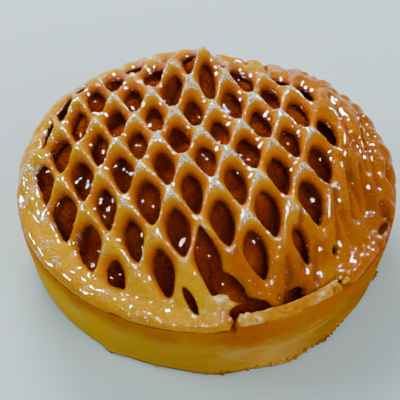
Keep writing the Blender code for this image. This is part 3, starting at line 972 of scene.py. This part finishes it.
def case_mesh(size):
    """The wall and floor, turned round the middle, uneven all over and rough on the bare lip."""
    mesh = bmesh.new()
    rings = None
    for step in range(size.steps):
        degrees = 360 * step / size.steps - 180
        turn = math.radians(degrees)
        section = case_section(degrees, size)
        rings = rings or [[] for _ in section]
        for ring, (radius, height, rough) in zip(rings, section):
            place = Vector((radius * math.cos(turn), radius * math.sin(turn), height))
            swell = noise.fractal(place * 90, 1.0, 2.0, 3) * size.relief
            grain = noise.fractal(place * 420, 0.8, 2.0, 3) * (0.3 * size.relief)
            crumbled = size.lip_relief * max(rough - 1, 0)
            out = (swell + grain) * min(rough, 1) * eased(height, 0, 0.003)
            out += noise.fractal(place * 260 + Vector((3, 0, 0)), 0.8, 2.0, 3) * crumbled * 0.6
            lifted = noise.fractal(place * 300, 0.7, 2.0, 4) * crumbled
            place.x += out * math.cos(turn)
            place.y += out * math.sin(turn)
            place.z += lifted
            ring.append(mesh.verts.new(place))
    for lower, upper in zip(rings, rings[1:]):
        for index in range(size.steps):
            after = (index + 1) % size.steps
            mesh.faces.new((lower[index], lower[after], upper[after], upper[index]))
    for ring, height, flip in ((rings[0], 0.0, True), (rings[-1], size.floor, False)):
        middle = mesh.verts.new((0, 0, height))
        for index, vert in enumerate(ring):
            after = ring[(index + 1) % size.steps]
            mesh.faces.new((after, vert, middle) if flip else (vert, after, middle))
    for face in mesh.faces:
        face.smooth = True
    made = bpy.data.meshes.new("pie_case")
    mesh.to_mesh(made)
    mesh.free()
    return made


def crumb_places(size):
    """Where the crumbs lie, as the vertices of a mesh."""
    draw = random.Random(size.seed)
    places = []
    for _ in range(size.foot_count):
        angle, out, spread = draw.choice(FOOT_CRUMBS)
        degrees = draw.gauss(angle, spread * 0.9)
        radius = FOOT_OUT + foot_reach(degrees) * draw.uniform(0.7, 1.1)
        turn = math.radians(degrees)
        places.append((radius * math.cos(turn), radius * math.sin(turn), draw.uniform(*FOOT_HEIGHTS)))
    for _ in range(size.lip_count):
        degrees = draw.choice([draw.gauss(angle, spread) for angle, spread in LIP_ENDS])
        radius = draw.uniform(*LIP_OUT)
        turn = math.radians(degrees)
        places.append((radius * math.cos(turn), radius * math.sin(turn), draw.uniform(*LIP_HEIGHTS)))
    made = bpy.data.meshes.new("crumb_places")
    made.from_pydata(places, [], [])
    return made


def crumb_tree(sizes, material):
    """A rough crumb on each of the piece's points, each turned and scaled its own way."""
    tree, source, size = new_tree("crumb_tree", sizes)
    inputs = {"Subdivisions": 3, "Radius": size["crumb_size"]}
    ball = add_node(tree, "GeometryNodeMeshIcoSphere", inputs)
    place = positions(tree)[0]
    inputs = {0: place, "Scale": patches(place, 1500, 2) * 0.6}
    roughness = add_node(tree, "ShaderNodeVectorMath", inputs, operation="SCALE")
    inputs = {"Geometry": ball.outputs["Mesh"], "Offset": roughness.outputs[0]}
    crumb = add_node(tree, "GeometryNodeSetPosition", inputs)
    inputs = {"Max": (math.tau, math.tau, math.tau), "Seed": CRUMB_SEED}
    turn = add_node(tree, "FunctionNodeRandomValue", inputs, data_type="FLOAT_VECTOR")
    inputs = {"Min": (0.4, 0.4, 0.3), "Max": (1.3, 1.1, 0.8), "Seed": CRUMB_SEED}
    stretch = add_node(tree, "FunctionNodeRandomValue", inputs, data_type="FLOAT_VECTOR")
    inputs = {
        "Points": source.outputs["Geometry"],
        "Instance": crumb.outputs[0],
        "Rotation": turn.outputs["Value"],
        "Scale": stretch.outputs["Value"],
    }
    instances = add_node(tree, "GeometryNodeInstanceOnPoints", inputs)
    end_tree(tree, instances.outputs[0], material)
    return tree


class PIE_OT_lid(bpy.types.Operator):
    """Makes the lattice lid"""

    bl_idname = "pie.lid"
    bl_label = "Lattice lid"

    def execute(self, context):
        scene = context.scene
        lid = new_piece("pie_lid")
        tree = lid_tree(scene.pie_dome, scene.pie_lid, glazed_lattice(scene.pie_colours))
        apply_tree(lid, tree, scene.pie_dome, scene.pie_lid)
        without_islands(lid)
        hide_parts("lattice_lid")
        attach(lid, "root")
        return {"FINISHED"}


class PIE_OT_filling(bpy.types.Operator):
    """Makes the mound of cooked apple"""

    bl_idname = "pie.filling"
    bl_label = "Apple filling"

    def execute(self, context):
        scene = context.scene
        filling = new_piece("pie_filling")
        tree = filling_tree(scene.pie_dome, scene.pie_filling, syrupy_apple(scene.pie_colours))
        apply_tree(filling, tree, scene.pie_dome, scene.pie_filling)
        without_islands(filling)
        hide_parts("apple_filling")
        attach(filling, "root")
        return {"FINISHED"}


class PIE_OT_case(bpy.types.Operator):
    """Makes the shortcrust case"""

    bl_idname = "pie.case"
    bl_label = "Crust case"

    def execute(self, context):
        scene = context.scene
        case = new_piece("pie_case", case_mesh(scene.pie_case))
        case.data.materials.append(baked_case(scene.pie_colours))
        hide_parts("crust_case")
        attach(case, "root")
        return {"FINISHED"}


class PIE_OT_crumbs(bpy.types.Operator):
    """Scatters the crumbs"""

    bl_idname = "pie.crumbs"
    bl_label = "Crumbs"

    def execute(self, context):
        scene = context.scene
        crumbs = new_piece("pie_crumbs", crumb_places(scene.pie_crumbs))
        apply_tree(crumbs, crumb_tree(scene.pie_crumbs, bpy.data.materials["baked_case"]), scene.pie_crumbs)
        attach(crumbs, "root")
        return {"FINISHED"}


# The photograph's view: height in degrees, distance from the pie's origin, and where that origin shows
CAMERA_ELEVATION = 48.5
CAMERA_DISTANCE = 0.36
FOCAL_PIXELS = 946.0
IMAGE_SIZE = 400
ORIGIN_PIXEL = (206.5, 226.5)
SENSOR = 36.0

# Lights: place, size, power in watts, tint, and whether they make highlights instead of soft light
LIGHTS = {
    "back_window": ((-0.22, 0.80, 0.62), 0.50, 12.5, (1.0, 0.98, 0.95), False),
    "left_window": ((-0.80, 0.10, 0.55), 0.40, 4.5, (0.95, 0.98, 1.0), False),
    "front_fill": ((0.65, -0.55, 0.60), 0.80, 8.2, (1.0, 0.95, 0.88), False),
    "back_glint": ((-0.20, 0.80, 0.62), 0.16, 90.0, (1.0, 1.0, 1.0), True),
    "high_glint": ((0.10, 0.60, 0.90), 0.11, 54.0, (1.0, 1.0, 1.0), True),
    "left_glint": ((-0.60, 0.05, 0.80), 0.14, 70.0, (1.0, 1.0, 1.0), True),
    "low_glint": ((-0.85, 0.25, 0.50), 0.14, 66.0, (1.0, 1.0, 1.0), True),
    "right_glint": ((0.55, 0.40, 0.65), 0.12, 54.0, (1.0, 1.0, 1.0), True),
    "front_glint": ((-0.15, -0.30, 0.95), 0.08, 32.0, (1.0, 1.0, 1.0), True),
}
LIGHTS_AIM = (0, 0, 0.03)
WORLD_COLOUR = (0.88, 0.93, 1.0)
WORLD_STRENGTH = 0.34


def add_light(name, place, size, power, tint, glossy):
    light = bpy.data.lights.new(name, "AREA")
    light.size = size
    light.energy = power
    light.color = tint
    lamp = bpy.data.objects.new(name, light)
    lamp.visible_glossy = glossy
    lamp.visible_diffuse = not glossy
    lamp.location = place
    lamp.rotation_mode = "QUATERNION"
    lamp.rotation_quaternion = (Vector(LIGHTS_AIM) - Vector(place)).to_track_quat("-Z", "Y")
    bpy.context.scene.collection.objects.link(lamp)


def add_camera(scene):
    """Aims so that the pie's origin shows at its pixel."""
    tilt = math.radians(CAMERA_ELEVATION)
    back = Vector((0, -math.cos(tilt), math.sin(tilt)))
    right = Vector((1, 0, 0))
    up = back.cross(right)
    middle = IMAGE_SIZE / 2
    view = -back * FOCAL_PIXELS + right * (middle - ORIGIN_PIXEL[0]) + up * (ORIGIN_PIXEL[1] - middle)
    data = bpy.data.cameras.new("photo_view")
    data.sensor_width = SENSOR
    data.lens = SENSOR * FOCAL_PIXELS / IMAGE_SIZE
    camera = bpy.data.objects.new("photo_view", data)
    camera.location = back * CAMERA_DISTANCE
    camera.rotation_mode = "QUATERNION"
    camera.rotation_quaternion = view.to_track_quat("-Z", "Y")
    scene.collection.objects.link(camera)
    scene.camera = camera


class PIE_OT_stage(bpy.types.Operator):
    """Makes the floor, the lights and the camera"""

    bl_idname = "pie.stage"
    bl_label = "Stage"

    def execute(self, context):
        scene = context.scene
        bpy.ops.mesh.primitive_plane_add(size=6)
        floor = context.object
        floor.name = "floor"
        floor.data.materials.append(pale_floor(scene.pie_colours))
        world = bpy.data.worlds.new("studio")
        world.use_nodes = True
        background = world.node_tree.nodes["Background"]
        background.inputs["Color"].default_value = socket_colour(WORLD_COLOUR)
        background.inputs["Strength"].default_value = WORLD_STRENGTH
        scene.world = world
        for name, settings in LIGHTS.items():
            add_light(name, *settings)
        add_camera(scene)
        return {"FINISHED"}


class PIE_PT_panel(bpy.types.Panel):
    """The pie's pieces and sizes"""

    bl_idname = "PIE_PT_panel"
    bl_label = "Lattice apple pie"
    bl_space_type = "VIEW_3D"
    bl_region_type = "UI"
    bl_category = "Pie"

    def draw(self, context):
        layout = self.layout
        for operator in OPERATORS:
            layout.operator(operator.bl_idname)
        for name in GROUPS:
            box = layout.box()
            box.label(text=name.replace("pie_", "").capitalize())
            group = getattr(context.scene, name)
            for rule in own_properties(group):
                box.prop(group, rule.identifier)


GROUPS = {
    "pie_dome": PieDomeSizes,
    "pie_lid": PieLidSizes,
    "pie_filling": PieFillingSizes,
    "pie_case": PieCaseSizes,
    "pie_crumbs": PieCrumbSizes,
    "pie_colours": PieColours,
}
OPERATORS = (PIE_OT_stage, PIE_OT_case, PIE_OT_filling, PIE_OT_lid, PIE_OT_crumbs)
CLASSES = (*GROUPS.values(), *OPERATORS, PIE_PT_panel)


def register():
    for each in CLASSES:
        bpy.utils.register_class(each)
    for name, group in GROUPS.items():
        setattr(bpy.types.Scene, name, PointerProperty(type=group))


def unregister():
    for name in GROUPS:
        delattr(bpy.types.Scene, name)
    for each in reversed(CLASSES):
        bpy.utils.unregister_class(each)


def main():
    register()
    bpy.ops.pie.stage()
    bpy.ops.pie.case()
    bpy.ops.pie.filling()
    bpy.ops.pie.lid()
    bpy.ops.pie.crumbs()


if __name__ == "__main__":
    main()
